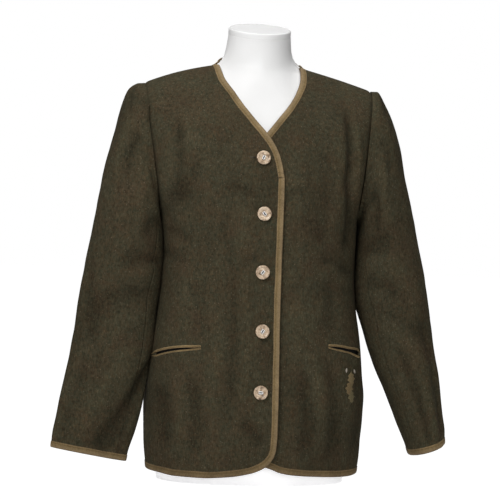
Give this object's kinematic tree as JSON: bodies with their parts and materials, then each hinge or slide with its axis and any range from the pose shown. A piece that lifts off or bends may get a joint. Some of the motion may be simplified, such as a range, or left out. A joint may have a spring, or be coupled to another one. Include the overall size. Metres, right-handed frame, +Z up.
{
  "type": "hunting jacket on a dress form",
  "caption": "Collarless V-neck wool hunting jacket with tan bindings, piped pockets and horn buttons, worn closed on a white limbless dress form with a neck cap.",
  "frame": {"origin": "centre of the form's flat underside", "axes": "+Z up, the front of the jacket faces -Y, the wearer's right side is toward -X"},
  "size_m": [0.6728, 0.2557, 0.7786],
  "materials": {
    "loden": "milled wool, matt, dark olive brown melange",
    "binding": "tan suede-like tape, matt",
    "pocket_cloth": "dark matt cloth",
    "horn": "polished pinkish beige horn",
    "form_white": "glossy white lacquer"
  },
  "bodies": {
    "root": {"front_right": "loden", "front_left": "loden", "back": "loden", "top_sleeve_right": "loden", "under_sleeve_right": "loden", "top_sleeve_left": "loden", "under_sleeve_left": "loden", "binding_front_right": "binding", "binding_front_left": "binding", "binding_back_hem": "binding", "binding_back_neck": "binding", "binding_cuff_right": "binding", "binding_cuff_left": "binding", "pocket_upper_right": "binding", "pocket_lower_right": "binding", "pocket_upper_left": "binding", "pocket_lower_left": "binding", "pocket_bag_right": "pocket_cloth", "pocket_bag_left": "pocket_cloth", "button_1": "horn", "button_2": "horn", "button_3": "horn", "button_4": "horn", "button_5": "horn", "form_torso": "form_white", "form_neck_cap": "form_white"}
  },
  "joints": []
}
